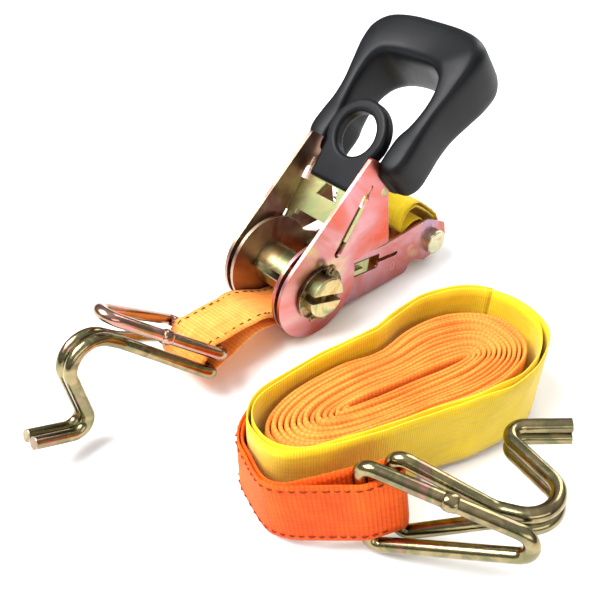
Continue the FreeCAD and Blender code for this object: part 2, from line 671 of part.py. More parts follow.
def main():
    nodes = build()
    box = FreeCAD.BoundBox()
    for name, s in nodes.items():
        if len(s.Solids) != 1:
            print("PIECES", name, len(s.Solids))
        if s.Solids:
            big = max(s.Solids, key=lambda q: q.Volume)
            nodes[name] = big
        for p in nodes[name].tessellate(0.1)[0]:
            box.add(p)
    shift = V(-(box.XMin + box.XMax) / 2, -(box.YMin + box.YMax) / 2, -box.ZMin)
    os.makedirs("parts", exist_ok=True)
    for name, s in nodes.items():
        s.translate(shift)
        s.exportStep("parts/" + name + ".step")
        b = s.BoundBox
        print("%-20s valid %s vol %8.0f  x %7.1f..%7.1f y %7.1f..%7.1f z %6.1f..%6.1f" % (
            name, s.isValid(), s.Volume, b.XMin, b.XMax, b.YMin, b.YMax, b.ZMin, b.ZMax))
    print("SHIFT %.4f %.4f %.4f" % (shift.x, shift.y, shift.z))
    print("SIZE %.1f %.1f %.1f" % (box.XLength, box.YLength, box.ZLength))


main()
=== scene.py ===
import math

import bpy
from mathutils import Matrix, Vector


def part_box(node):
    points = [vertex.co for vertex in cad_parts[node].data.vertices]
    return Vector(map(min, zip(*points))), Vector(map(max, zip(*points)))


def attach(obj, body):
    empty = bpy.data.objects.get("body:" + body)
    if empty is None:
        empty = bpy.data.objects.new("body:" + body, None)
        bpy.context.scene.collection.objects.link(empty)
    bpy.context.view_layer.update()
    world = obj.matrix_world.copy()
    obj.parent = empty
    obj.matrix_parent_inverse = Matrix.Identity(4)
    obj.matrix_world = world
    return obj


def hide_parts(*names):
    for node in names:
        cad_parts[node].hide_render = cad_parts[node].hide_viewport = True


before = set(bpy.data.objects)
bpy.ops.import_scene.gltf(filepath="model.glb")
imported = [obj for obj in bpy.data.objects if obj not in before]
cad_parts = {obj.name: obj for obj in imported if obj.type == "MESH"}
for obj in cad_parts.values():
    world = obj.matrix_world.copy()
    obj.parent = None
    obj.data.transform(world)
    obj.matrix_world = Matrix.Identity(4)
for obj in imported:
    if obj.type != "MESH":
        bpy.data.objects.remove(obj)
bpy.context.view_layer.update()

# Ratchet tie down.  Lengths below are millimetres in the spool's own frame (spool centre at the
# origin, base toward +X, near side -Y, up +Z); spot() turns them into metres in the row frame.
MM = 0.001
NEAR_LO, NEAR_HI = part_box("spool_washer_near")
FAR_LO, FAR_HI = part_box("spool_washer_far")
SPOOL = (NEAR_LO + NEAR_HI + FAR_LO + FAR_HI) / 4

STRAP_W = 25.0
STRAP_T = 1.2
STRAP_PITCH = 1.5          # one wound layer to the next
WIRE_R = 2.5
BOLT = (83.0, -11.2)
BOLT_R = 3.0
GROUND = -SPOOL.z / MM + 0.2

# Each hook: ring bar centre, direction to the apex, bar direction, where its eye bar lies from the
# ring bar, the way the webbing leaves, and how far off the webbing's two layers meet.
HOOK_1 = {"at": (-52.9, -3.4, -5.2), "u": (-0.746, -0.010, 0.666), "v": (0.057, -0.997, 0.050),
          "eye": (1.0, -8.4), "leave": (-0.80, 0.60), "neck": 20.0}
HOOK_2 = {"at": (-63.2, -106.8, -2.0), "u": (0.407, -0.898, 0.166), "v": (-0.024, 0.171, 0.985),
          "eye": (8.0, -7.0), "leave": (-0.906, 0.42), "neck": 21.0}
RING_HW, RING_TIP = 18.2, 66.4

ROLL_C, ROLL_YAW = Vector((-16.4, -81.0, 0.0)), math.radians(-10.0)
ROLL_LEN, ROLL_WID = 118.0, 44.0
END_SLACK = 1.5            # the turns stand this much further apart at the roll's two ends
SLEEVE_W = 33.0
SLEEVE_OUT = 3.4           # the sleeve's outer face stands this far off the wound strap
ROLL_FOOT, SLEEVE_FOOT = 3.0, 1.6      # lower edges above the ground
ROLL_END_POWER, ROLL_SIDE_POWER = 0.72, 0.80       # below 1, the oval's ends and sides are fuller
ROLL_FULL_RIGHT, ROLL_FULL_LEFT = 0.24, 0.12       # how much wider, or narrower, than the middle
WAIST_DEEP, WAIST_AT, WAIST_LONG = 4.2, 3.0, 15.0  # the dip in the roll's back
CORE_FORWARD, CORE_SKEW = 3.4, 0.037   # where the middle slit lies
PLY_GAP = 0.12             # between two layers of webbing, on each side of their middle


def spot(p):
    return SPOOL + Vector(p) * MM


# ---- shader helpers ------------------------------------------------------------------------------
class Nodes:
    """Small helper round one material's node tree."""

    def __init__(self, name):
        self.mat = bpy.data.materials.new(name)
        self.mat.use_nodes = True
        self.tree = self.mat.node_tree
        self.shader = self.tree.nodes["Principled BSDF"]

    def add(self, kind, **values):
        node = self.tree.nodes.new(kind)
        for key, value in values.items():
            setattr(node, key, value)
        return node

    def link(self, out, into):
        self.tree.links.new(out, into)

    def feed(self, socket, value):
        if isinstance(value, (int, float)):
            socket.default_value = value
        else:
            self.link(value, socket)

    def math(self, op, a, b=0.0):
        node = self.add("ShaderNodeMath", operation=op)
        self.feed(node.inputs[0], a)
        self.feed(node.inputs[1], b)
        return node.outputs[0]

    def place(self):
        return self.add("ShaderNodeTexCoord").outputs["Object"]

    def stretch(self, vector, scale):
        node = self.add("ShaderNodeMapping")
        node.inputs["Scale"].default_value = scale
        self.link(vector, node.inputs["Vector"])
        return node.outputs[0]

    def noise(self, vector, scale, detail=3.0, rough=0.55, warp=0.0):
        node = self.add("ShaderNodeTexNoise")
        self.link(vector, node.inputs["Vector"])
        for key, value in (("Scale", scale), ("Detail", detail), ("Roughness", rough), ("Distortion", warp)):
            node.inputs[key].default_value = value
        return node.outputs["Fac"]

    def ramp(self, fac, stops):
        node = self.add("ShaderNodeValToRGB")
        band = node.color_ramp
        while len(band.elements) < len(stops):
            band.elements.new(0.5)
        for element, (at, colour) in zip(band.elements, stops):
            element.position = at
            element.color = (*colour, 1.0)
        self.link(fac, node.inputs["Fac"])
        return node.outputs["Color"]

    def spread(self, fac, low, high, from_low=0.3, from_high=0.7):
        node = self.add("ShaderNodeMapRange")
        for key, value in (("From Min", from_low), ("From Max", from_high),
                           ("To Min", low), ("To Max", high)):
            node.inputs[key].default_value = value
        self.link(fac, node.inputs["Value"])
        return node.outputs["Result"]

    def mix(self, fac, a, b, blend="MIX"):
        node = self.add("ShaderNodeMix", data_type="RGBA", blend_type=blend)
        self.feed(node.inputs["Factor"], fac)
        for socket, value in ((node.inputs["A"], a), (node.inputs["B"], b)):
            if isinstance(value, tuple):
                socket.default_value = (*value, 1.0)
            else:
                self.link(value, socket)
        return node.outputs["Result"]

    def bump(self, height, depth, strength=1.0, under=None):
        node = self.add("ShaderNodeBump")
        node.inputs["Strength"].default_value = strength
        node.inputs["Distance"].default_value = depth
        self.link(height, node.inputs["Height"])
        if under is not None:
            self.link(under, node.inputs["Normal"])
        return node.outputs["Normal"]

    def rounded(self, radius):
        node = self.add("ShaderNodeBevel", samples=4)
        node.inputs["Radius"].default_value = radius
        return node.outputs["Normal"]

    def edge(self, radius):
        """1 where the surface turns a corner within radius, 0 on the flats."""
        dot = self.add("ShaderNodeVectorMath", operation="DOT_PRODUCT")
        self.link(self.rounded(radius), dot.inputs[0])
        self.link(self.add("ShaderNodeNewGeometry").outputs["Normal"], dot.inputs[1])
        return self.spread(dot.outputs["Value"], 1.0, 0.0, 0.80, 0.99)


def plated(name, stops, patch=38.0, rough=(0.24, 0.40), warp=1.2):
    """Zinc plating with a yellow passivate: interference tints in soft patches, handling scratches,
    paler worn edges."""
    n = Nodes(name)
    at = n.place()
    patches = n.noise(at, patch, 3.0, 0.55, warp)
    tint = n.ramp(patches, stops)
    fine = n.noise(at, 900.0, 2.0)
    scratch = n.noise(n.stretch(at, (60.0, 900.0, 2200.0)), 1.0, 4.0, 0.7)
    worn = n.math("MULTIPLY", n.edge(0.00035), n.spread(n.noise(at, 160.0), 0.25, 0.95))
    tint = n.mix(n.spread(scratch, 0.0, 0.30, 0.62, 0.80), tint, (0.78, 0.68, 0.54))
    tint = n.mix(worn, tint, (0.88, 0.80, 0.66))
    n.link(tint, n.shader.inputs["Base Color"])
    n.shader.inputs["Metallic"].default_value = 1.0
    uneven = n.math("ADD", n.math("MULTIPLY", patches, 0.7), n.math("MULTIPLY", fine, 0.3))
    n.link(n.spread(uneven, *rough), n.shader.inputs["Roughness"])
    normal = n.bump(scratch, 0.00004, 0.35, n.rounded(0.0003))
    n.link(n.bump(fine, 0.00003, 0.35, normal), n.shader.inputs["Normal"])
    return n.mat


def rubber(name, dark, pale):
    n = Nodes(name)
    at = n.place()
    grain = n.noise(at, 2600.0, 2.0)
    clouds = n.noise(at, 55.0, 3.0)
    # Paler grey along the rounded edges: partly scuffing of the rubber, partly a painted highlight along the
    # edges.
    scuff_and_highlight = n.math("MULTIPLY", n.edge(0.0012), n.spread(n.noise(at, 210.0), 0.3, 1.0))
    body = n.mix(n.spread(clouds, 0.0, 1.0), dark, pale)
    n.link(n.mix(n.math("MULTIPLY", scuff_and_highlight, 0.5), body, (0.045, 0.047, 0.052)), n.shader.inputs["Base Color"])
    uneven = n.math("ADD", n.math("MULTIPLY", clouds, 0.6), n.math("MULTIPLY", grain, 0.4))
    n.link(n.spread(uneven, 0.34, 0.50), n.shader.inputs["Roughness"])
    n.shader.inputs["Specular IOR Level"].default_value = 0.15
    n.link(n.bump(grain, 0.00005, 0.35, n.rounded(0.0009)), n.shader.inputs["Normal"])
    return n.mat


def arch(n, value):
    """0 at whole numbers and 1 half way between them, as a rounded yarn."""
    part = n.math("FRACT", value)
    return n.math("MULTIPLY", n.math("MULTIPLY", part, n.math("SUBTRACT", 1.0, part)), 4.0)


def woven(name, light, deep, warp=1.25, weft=1.7, depth=0.00022, rough=(0.62, 0.80), sheen=0.35, glow=0.0):
    """Flat woven band.  The strap map holds millimetres along and across the band."""
    n = Nodes(name)
    uv = n.add("ShaderNodeUVMap", uv_map="strap").outputs["UV"]
    split = n.add("ShaderNodeSeparateXYZ")
    n.link(uv, split.inputs[0])
    along, across = split.outputs["X"], split.outputs["Y"]
    row = n.math("DIVIDE", along, weft)
    half = n.math("MULTIPLY", n.math("FLOOR", row), 0.5)
    yarn = arch(n, row)
    cross = arch(n, n.math("ADD", n.math("DIVIDE", across, warp), half))
    height = n.math("MULTIPLY", n.math("POWER", yarn, 0.6),
                    n.math("ADD", n.math("MULTIPLY", cross, 0.4), 0.6))
    at = n.place()
    clouds = n.noise(at, 42.0, 3.0, 0.6, 0.4)
    streak = n.noise(n.stretch(uv, (0.05, 1.6, 1.0)), 1.0, 2.0)
    base = n.ramp(n.math("ADD", n.math("MULTIPLY", clouds, 0.6), n.math("MULTIPLY", streak, 0.4)),
                  ((0.36, deep), (0.64, light)))
    # Painted shade: the colour darkens toward 0.45 of the deep tone in the low grooves between the yarns.
    base = n.mix(n.spread(height, 0.42, 0.0, 0.05, 0.75), base, tuple(c * 0.45 for c in deep))
    n.link(base, n.shader.inputs["Base Color"])
    n.link(n.spread(streak, *rough), n.shader.inputs["Roughness"])
    n.shader.inputs["Sheen Weight"].default_value = sheen
    n.shader.inputs["Sheen Roughness"].default_value = 0.45
    n.shader.inputs["Specular IOR Level"].default_value = 0.20
    if glow:
        n.shader.inputs["Subsurface Weight"].default_value = glow
        n.shader.inputs["Subsurface Radius"].default_value = (0.004, 0.0018, 0.0004)
        n.shader.inputs["Subsurface Scale"].default_value = 0.6
    fuzz = n.bump(n.noise(at, 3000.0, 2.0), 0.00008, 0.5)
    n.link(n.bump(height, depth, 0.9, fuzz), n.shader.inputs["Normal"])
    return n.mat


def thread(name, light, deep):
    n = Nodes(name)
    at = n.place()
    twist = n.noise(at, 1500.0, 2.0)
    n.link(n.ramp(twist, ((0.35, deep), (0.65, light))), n.shader.inputs["Base Color"])
    n.link(n.spread(twist, 0.6, 0.8), n.shader.inputs["Roughness"])
    n.shader.inputs["Specular IOR Level"].default_value = 0.10
    n.link(n.bump(twist, 0.00006, 0.6), n.shader.inputs["Normal"])
    return n.mat


GOLD, PALE_GOLD = (0.40, 0.27, 0.10), (0.56, 0.46, 0.24)
ROSE, PINK, RED_ROSE = (0.48, 0.14, 0.12), (0.52, 0.25, 0.27), (0.50, 0.075, 0.035)
LEAF, VIOLET = (0.25, 0.32, 0.14), (0.38, 0.23, 0.32)

ZINC_ROSE = plated("zinc rose", ((0.32, RED_ROSE), (0.47, ROSE), (0.60, PINK), (0.72, PALE_GOLD)), 24.0)
ZINC_PINK = plated("zinc pink", ((0.30, VIOLET), (0.44, PINK), (0.58, ROSE), (0.72, PALE_GOLD)), 30.0)
ZINC_GREEN = plated("zinc green gold", ((0.30, LEAF), (0.46, (0.42, 0.40, 0.18)), (0.58, LEAF),
                                        (0.70, ROSE)), 46.0)
ZINC_YELLOW = plated("zinc yellow", ((0.32, GOLD), (0.48, PALE_GOLD), (0.60, LEAF), (0.70, ROSE)), 60.0)
ZINC_DARK = plated("zinc dark", ((0.30, (0.06, 0.05, 0.03)), (0.48, (0.20, 0.15, 0.08)),
                                 (0.62, (0.30, 0.17, 0.12)), (0.72, (0.13, 0.14, 0.07))), 70.0, (0.24, 0.40))
ZINC_BROWN = plated("zinc brown", ((0.30, (0.17, 0.08, 0.06)), (0.46, (0.30, 0.16, 0.12)),
                                   (0.58, (0.40, 0.26, 0.18)), (0.70, (0.48, 0.38, 0.24))),
                    34.0, (0.26, 0.44))
ZINC_WIRE = plated("zinc wire", ((0.30, (0.10, 0.075, 0.04)), (0.44, (0.30, 0.24, 0.12)),
                                 (0.56, (0.15, 0.145, 0.07)), (0.70, (0.30, 0.16, 0.12))), 58.0, (0.13, 0.26))
ZINC_RING = plated("zinc rosy wire", ((0.30, (0.13, 0.08, 0.06)), (0.44, (0.40, 0.20, 0.16)),
                                      (0.56, (0.30, 0.22, 0.13)), (0.70, (0.50, 0.27, 0.24))),
                   58.0, (0.13, 0.26))
ZINC_OLIVE = plated("zinc olive", ((0.30, (0.04, 0.035, 0.02)), (0.46, (0.15, 0.11, 0.05)),
                                   (0.60, (0.34, 0.25, 0.11)), (0.72, (0.20, 0.10, 0.07))), 90.0, (0.22, 0.38))
SPRING = plated("spring steel", ((0.30, (0.30, 0.28, 0.23)), (0.65, (0.50, 0.47, 0.38))), 120.0, (0.22, 0.36))
BRIGHT = plated("bright zinc", ((0.30, (0.46, 0.38, 0.20)), (0.50, (0.66, 0.60, 0.40)),
                                (0.68, (0.52, 0.54, 0.34))), 90.0, (0.20, 0.36))
BLACK = rubber("black rubber", (0.0025, 0.0027, 0.0035), (0.006, 0.0065, 0.008))
ORANGE = woven("orange webbing", (0.90, 0.40, 0.085), (0.78, 0.20, 0.02), glow=0.10, sheen=0.05)
ORANGE_OUT = woven("deep orange webbing", (0.86, 0.12, 0.005), (0.62, 0.055, 0.003), warp=1.9, weft=1.5,
                   glow=0.06, sheen=0.0)
ORANGE_ROLL = woven("wound orange webbing", (0.82, 0.29, 0.045), (0.66, 0.17, 0.02), glow=0.12, sheen=0.05)
YELLOW = woven("yellow sleeve", (0.86, 0.61, 0.012), (0.66, 0.45, 0.008), warp=0.9, weft=0.9, depth=0.00012,
               sheen=0.25, glow=0.10)
THREAD_DARK = thread("brown thread", (0.16, 0.07, 0.02), (0.07, 0.03, 0.01))
THREAD_ORANGE = thread("red thread", (0.26, 0.035, 0.008), (0.14, 0.02, 0.005))

FINISH = {
    ZINC_ROSE: ("handle_plate_near",),
    ZINC_BROWN: ("handle_plate_far", "base_plate_far"),
    ZINC_PINK: ("base_plate_near", "base_cross_plate", "base_guide"),
    ZINC_GREEN: ("handle_pawl", "base_pawl"),
    ZINC_YELLOW: ("spool_half_upper", "spool_half_lower", "anchor_nut", "handle_spring_rod",
                  "handle_cross_tube"),
    ZINC_DARK: ("ratchet_wheel_near", "ratchet_wheel_far"),
    BRIGHT: ("anchor_bolt",),
    ZINC_OLIVE: ("spool_washer_near", "spool_washer_far", "split_pin_near", "split_pin_far"),
    ZINC_WIRE: ("short_hook_wire", "long_hook_ring", "long_hook_wire"),
    ZINC_RING: ("short_hook_ring",),
    SPRING: ("base_pawl_spring", "handle_pawl_spring"),
    BLACK: ("grip", "finger_pull"),
}


def dress_cad():
    """Give every metal and rubber CAD node its finish."""
    for material, names in FINISH.items():
        for name in names:
            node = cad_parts[name]
            node.data.materials.clear()
            node.data.materials.append(material)


# ---- mesh helpers --------------------------------------------------------------------------------
def finish_piece(name, verts, faces, uvs, material, body):
    """Make a piece from points in millimetres; uvs holds one (along, across) pair per face corner."""
    mesh = bpy.data.meshes.new(name)
    mesh.from_pydata([spot(v) for v in verts], [], faces)
    if uvs:
        layer = mesh.uv_layers.new(name="strap")
        for loop, uv in zip(layer.data, uvs):
            loop.uv = uv
    mesh.materials.append(material)
    mesh.polygons.foreach_set("use_smooth", [True] * len(mesh.polygons))
    mesh.update()
    piece = bpy.data.objects.new(name, mesh)
    bpy.context.scene.collection.objects.link(piece)
    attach(piece, body)
    return piece


def tangents(path, closed=False):
    n = len(path)
    out = []
    for i in range(n):
        a = path[(i - 1) % n] if closed else path[max(0, i - 1)]
        b = path[(i + 1) % n] if closed else path[min(n - 1, i + 1)]
        out.append((b - a).normalized())
    return out


def lengths(path):
    total, out = 0.0, [0.0]
    for a, b in zip(path, path[1:]):
        total += (b - a).length
        out.append(total)
    return out


def catmull(p0, p1, p2, p3, t):
    return 0.5 * (2 * p1 + (p2 - p0) * t + (2 * p0 - 5 * p1 + 4 * p2 - p3) * t * t
                  + (3 * p1 - p0 - 3 * p2 + p3) * t ** 3)


def smooth_path(points, step):
    """Catmull-Rom line through given points, at an even step."""
    fine = []
    n = len(points)
    for i in range(n - 1):
        p1, p2 = points[i], points[i + 1]
        p0 = points[i - 1] if i else p1 * 2 - p2
        p3 = points[i + 2] if i + 2 < n else p2 * 2 - p1
        parts = max(2, round((p2 - p1).length / step))
        for k in range(parts):
            fine.append(catmull(p0, p1, p2, p3, k / parts))
    return fine + [points[-1]]


def smooth_even(points, parts):
    """Catmull-Rom line with the same number of parts between every two points."""
    fine = []
    n = len(points)
    for i in range(n - 1):
        p1, p2 = points[i], points[i + 1]
        p0 = points[i - 1] if i else p1 * 2 - p2
        p3 = points[i + 2] if i + 2 < n else p2 * 2 - p1
        for k in range(parts):
            fine.append(catmull(p0, p1, p2, p3, k / parts))
    return fine + [points[-1]]


class Band:
    """A woven band swept along a line: width direction and normal at every point, an even thickness,
    rounded selvedges, and small waves from lift(along, across)."""

    CELLS = 8

    def __init__(self, path, ways, width=STRAP_W, thick=STRAP_T, closed=False,
                 lift=None, rise=None, swell=None):
        self.path, self.width, self.thick, self.closed = path, width, thick, closed
        self.swell = swell or [1.0] * len(path)
        self.lift = lift or (lambda s, t: 0.0)
        self.rise = rise or (lambda s, t: 0.0)
        self.along = lengths(path)
        self.frames = []
        for t, w in zip(tangents(path, closed), ways):
            w = (w - t * w.dot(t)).normalized()
            self.frames.append((w, t.cross(w).normalized()))

    def point(self, i, across, side):
        """A point on the band: across from -1 to 1, side -1 or 1 for its two faces."""
        w, nrm = self.frames[i]
        s = self.along[i]
        thin = 1.0 - 0.45 * abs(across) ** 12
        high = self.rise(s, across)
        return (self.path[i] + w * (across * self.width / 2 + high)
                + nrm * (side * self.thick * self.swell[i] / 2 * thin + self.lift(s, across)))

    def mesh(self):
        steps = [-1 + 2 * k / self.CELLS for k in range(self.CELLS + 1)]
        section = [(a, 1) for a in steps] + [(a, -1) for a in reversed(steps)]
        m, n = len(section), len(self.path)
        verts = [self.point(i, a, s) for i in range(n) for a, s in section]
        faces, uvs = [], []
        for i in range(n if self.closed else n - 1):
            j = (i + 1) % n
            s0 = self.along[i]
            s1 = self.along[j] if j else s0 + (self.path[0] - self.path[-1]).length
            for k in range(m):
                k2 = (k + 1) % m
                faces.append((i * m + k, i * m + k2, j * m + k2, j * m + k))
                t0, t1 = section[k][0] * self.width / 2, section[k2][0] * self.width / 2
                uvs += [(s0, t0), (s0, t1), (s1, t1), (s1, t0)]
        if not self.closed:
            for base, order in ((0, 1), ((n - 1) * m, -1)):
                for k in range(self.CELLS):
                    q = (base + k, base + m - 1 - k, base + m - 2 - k, base + k + 1)
                    faces.append(q[::order])
                    s = self.along[0] if base == 0 else self.along[-1]
                    uvs += [(s, 0.0)] * 4
        return verts, faces, uvs

    def make(self, name, material, body):
        verts, faces, uvs = self.mesh()
        return finish_piece(name, verts, faces, uvs, material, body)


def join_bands(name, bands, material, body):
    verts, faces, uvs = [], [], []
    for band in bands:
        v, f, u = band.mesh()
        faces += [tuple(k + len(verts) for k in face) for face in f]
        verts += v
        uvs += u
    return finish_piece(name, verts, faces, uvs, material, body)


def stitches(name, band, rows, side, material, body, long=2.3, gap=1.1, r=0.34):
    """Sewn thread on one face of a band.  rows holds (across, first, last) in millimetres along it."""
    verts, faces = [], []
    ring = 6
    for across, first, last in rows:
        s = first
        while s + long < last:
            ends = []
            for q in (s, s + long * 0.5, s + long):
                i = min(range(len(band.along)), key=lambda k: abs(band.along[k] - q))
                i = max(0, min(len(band.path) - 2, i))
                f = max(0.0, min(1.0, (q - band.along[i]) / max(1e-6, band.along[i + 1] - band.along[i])))
                p = band.point(i, across, side).lerp(band.point(i + 1, across, side), f)
                ends.append((p, band.frames[i]))
            for k, (p, (w, nrm)) in enumerate(ends):
                bulge = 0.75 if k == 1 else -0.35
                size = r if k == 1 else r * 0.55
                c = p + nrm * side * r * bulge
                for a in range(ring):
                    ca, sa = math.cos(2 * math.pi * a / ring), math.sin(2 * math.pi * a / ring)
                    verts.append(c + w * (ca * size) + nrm * (sa * size))
            base = len(verts) - 3 * ring
            for k in range(2):
                for a in range(ring):
                    b = (a + 1) % ring
                    faces.append((base + k * ring + a, base + k * ring + b,
                                  base + (k + 1) * ring + b, base + (k + 1) * ring + a))
            faces.append(tuple(base + a for a in reversed(range(ring))))
            faces.append(tuple(base + 2 * ring + a for a in range(ring)))
            s += long + gap
    return finish_piece(name, verts, faces, None, material, body)


def hook_axes(hook):
    origin, u, v = Vector(hook["at"]), Vector(hook["u"]).normalized(), Vector(hook["v"])
    v = (v - u * v.dot(u)).normalized()
    return origin, u, v, u.cross(v)


def bar_turn(hook, r=WIRE_R + 0.45 + STRAP_T / 2, half=STRAP_T / 2 + PLY_GAP):
    """The band's turn round a hook's two bars, from one side of its neck to the other."""
    origin, u, v, w = hook_axes(hook)
    d, neck = Vector(hook["leave"]).normalized(), hook["neck"]
    e = Vector((-d.y, d.x))
    bars = sorted((Vector((0.0, 0.0)), Vector(hook["eye"])), key=lambda c: -c.dot(e))
    start = math.atan2(e.y, e.x)
    run = bars[1] - bars[0]
    turn = math.atan2(run.y, run.x) - math.pi / 2
    while turn < start:
        turn += 2 * math.pi
    flat = [d * neck + e * half, (d * neck + e * half).lerp(bars[0] + e * r, 0.5)]
    for bar, a0, a1 in ((bars[0], start, turn), (bars[1], turn, start + math.pi)):
        parts = max(2, round((a1 - a0) * r / 0.9))
        flat += [bar + Vector((math.cos(a), math.sin(a))) * r
                 for a in (a0 + (a1 - a0) * k / parts for k in range(parts + 1))]
    flat += [(d * neck - e * half).lerp(bars[1] - e * r, 0.5), d * neck - e * half]
    line = [origin + u * p.x + w * p.y for p in flat]
    return smooth_path(line, 1.0), v, (u * d.x + w * d.y).normalized()


def bezier(p0, p1, p2, p3, parts):
    out = []
    for k in range(1, parts + 1):
        s = k / parts
        out.append(p0 * (1 - s) ** 3 + p1 * 3 * s * (1 - s) ** 2 + p2 * 3 * s * s * (1 - s) + p3 * s ** 3)
    return out


def offset(path, ways, dist):
    out = []
    for p, t, w in zip(path, tangents(path), ways):
        w = (w - t * w.dot(t)).normalized()
        out.append(p + t.cross(w).normalized() * dist)
    return out


def fair(path, first, last, passes):
    """Ease the bends of a stretch of a line, in place."""
    for _ in range(passes):
        eased = [(path[k - 1] + path[k] * 2 + path[k + 1]) / 4 for k in range(first, last)]
        path[first:last] = eased


# ---- short strap ---------------------------------------------------------------------------------
def short_strap():
    """Doubled band from the anchor bolt under the frame to the short hook, one closed loop of webbing."""
    turn, v, d = bar_turn(HOOK_1)
    across = Vector((0.0, -1.0, 0.0))
    run = [Vector(p) for p in ((76.0, 0, -16.9), (66, 0, -18.6), (46, 0, -19.7), (26, 0, -18.8), (7, 0, -15.6),
                               (-11, 0, -12.4), (-20, 0, -10.4))]
    path = smooth_path(run, 2.0)
    ways = [across] * len(path)
    start, end = path[-1], Vector(HOOK_1["at"]) + d * HOOK_1["neck"]
    reach = (end - start).length * 0.4
    curve = bezier(start, start + Vector((-0.97, 0, 0.24)) * reach, end + d * reach, end, 12)
    path += curve
    for k in range(1, len(curve) + 1):
        s = k / len(curve)
        m = s * s * (3 - 2 * s)
        ways.append((across * (1 - m) + v * m).normalized())
    gap = STRAP_T / 2 + PLY_GAP
    upper, lower = offset(path, ways, gap), offset(path, ways, -gap)
    if (upper[-1] - turn[0]).length > (lower[-1] - turn[0]).length:
        upper, lower = lower, upper
    top = upper if upper[0].z > lower[0].z else lower
    half = len(turn) // 2
    arch_from, arch_long, arch_high = -8.0, 42.0, 3.8
    for p in top + (turn[:half] if top is upper else turn[half:]):
        q = (arch_from - p.x) / arch_long
        if 0.0 < q < 1.0:
            p.z += arch_high * math.sin(math.pi * q)
    r = BOLT_R + 0.35 + STRAP_T / 2
    loop = [Vector((BOLT[0] + r * math.cos(a), 0, BOLT[1] + r * math.sin(a)))
            for a in (math.radians(x) for x in range(-112, 176, 14))]
    line = upper + turn[1:-1] + list(reversed(lower))
    dirs = ways + [v] * (len(turn) - 2) + list(reversed(ways))
    if lower[0].z < upper[0].z:
        line, dirs = line + loop, dirs + [across] * len(loop)
    else:
        line, dirs = line + list(reversed(loop)), dirs + [across] * len(loop)

    def wave(s, t):
        return 0.10 * math.sin(s / 7.0) * t + 0.07 * math.sin(s / 3.1 + 2.0)

    band = Band(line, dirs, closed=True, lift=wave)
    piece = band.make("short_strap_webbing", ORANGE, "frame")
    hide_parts("short_strap", "short_strap_eye")
    back = [p for p in reversed(turn) if (p - top[-1]).length < 27.0] if top is lower else \
        [p for p in turn if (p - top[-1]).length < 27.0]
    bend = min(range(len(back)), key=lambda k: -(back[k] - top[-1]).length)
    run = top + back[1:bend - 3]
    face = Band(run, ways + [v] * (len(run) - len(ways)), lift=wave)
    total = face.along[-1]
    side = 1 if face.frames[-4][1].dot(Vector((0, 0, 1))) > 0 else -1
    stitches("short_strap_stitching", face, ((0.80, 40, total), (-0.80, 40, total)), side, THREAD_DARK,
             "frame", gap=1.9)


# ---- anchor sleeve -------------------------------------------------------------------------------
def anchor_sleeve():
    """Wear sleeve bunched up against the anchor bolt: a flattened tube with cross folds."""
    outline = [Vector((x, 0, z)) for x, z in (
        (58.6, 3.4), (60.6, 10.8), (66.0, 14.8), (73.6, 13.2), (80.4, 7.8), (87.6, 0.6), (90.6, -7.0),
        (89.6, -13.6), (85.0, -18.2), (78.6, -19.0), (88.4, -12.6), (89.0, -7.2), (86.0, -0.8), (79.2, 6.2),
        (72.8, 11.2), (66.6, 12.6), (62.2, 9.6), (60.4, 3.6), (61.8, 1.0), (66.5, 3.8), (72.5, 4.6),
        (78.0, 0.8), (81.0, -3.2))]
    path = smooth_path(outline, 1.4)
    ways = [Vector((0, 1, 0))] * len(path)

    def folds(s, t):
        return 0.45 * math.sin(s / 2.3 + 1.2 * t) * math.cos(1.3 * t) + 0.22 * math.sin(s / 0.95 + 3.0 * t)

    band = Band(path, ways, width=25.0, thick=0.8, lift=folds)
    piece = band.make("anchor_sleeve_fabric", YELLOW, "frame")
    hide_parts("anchor_sleeve")


# ---- rolled strap --------------------------------------------------------------------------------
def oval(a, grow):
    """Plan outline of the roll at angle a, grown or shrunk evenly: a long oval, waisted on its back,
    fuller to the right."""
    length, width = ROLL_LEN / 2 + grow * (END_SLACK if grow < 0 else 1.0), ROLL_WID / 2 + grow
    share = min(1.0, width / (ROLL_WID / 2))
    ca, sa = math.cos(a), math.sin(a)
    x = length * math.copysign(abs(ca) ** ROLL_END_POWER, ca)
    fuller = 1.0 + (ROLL_FULL_RIGHT if x > 0 else ROLL_FULL_LEFT) * math.tanh(x / 30.0)
    y = width * math.copysign(abs(sa) ** ROLL_SIDE_POWER, sa) * fuller
    if sa > 0:
        y -= WAIST_DEEP * math.exp(-((x - WAIST_AT) / WAIST_LONG) ** 2) * share
    return x, y - (CORE_FORWARD + CORE_SKEW * x) * (1.0 - share)


def on_roll(x, y, z):
    c, s = math.cos(ROLL_YAW), math.sin(ROLL_YAW)
    return Vector((ROLL_C.x + x * c - y * s, ROLL_C.y + x * s + y * c, GROUND + z))


def even(path, step):
    """The same line with points at an even step."""
    out, carry = [path[0]], 0.0
    for a, b in zip(path, path[1:]):
        run = (b - a).length
        at = step - carry
        while at <= run:
            out.append(a.lerp(b, at / run))
            at += step
        carry = run - (at - step)
    return out


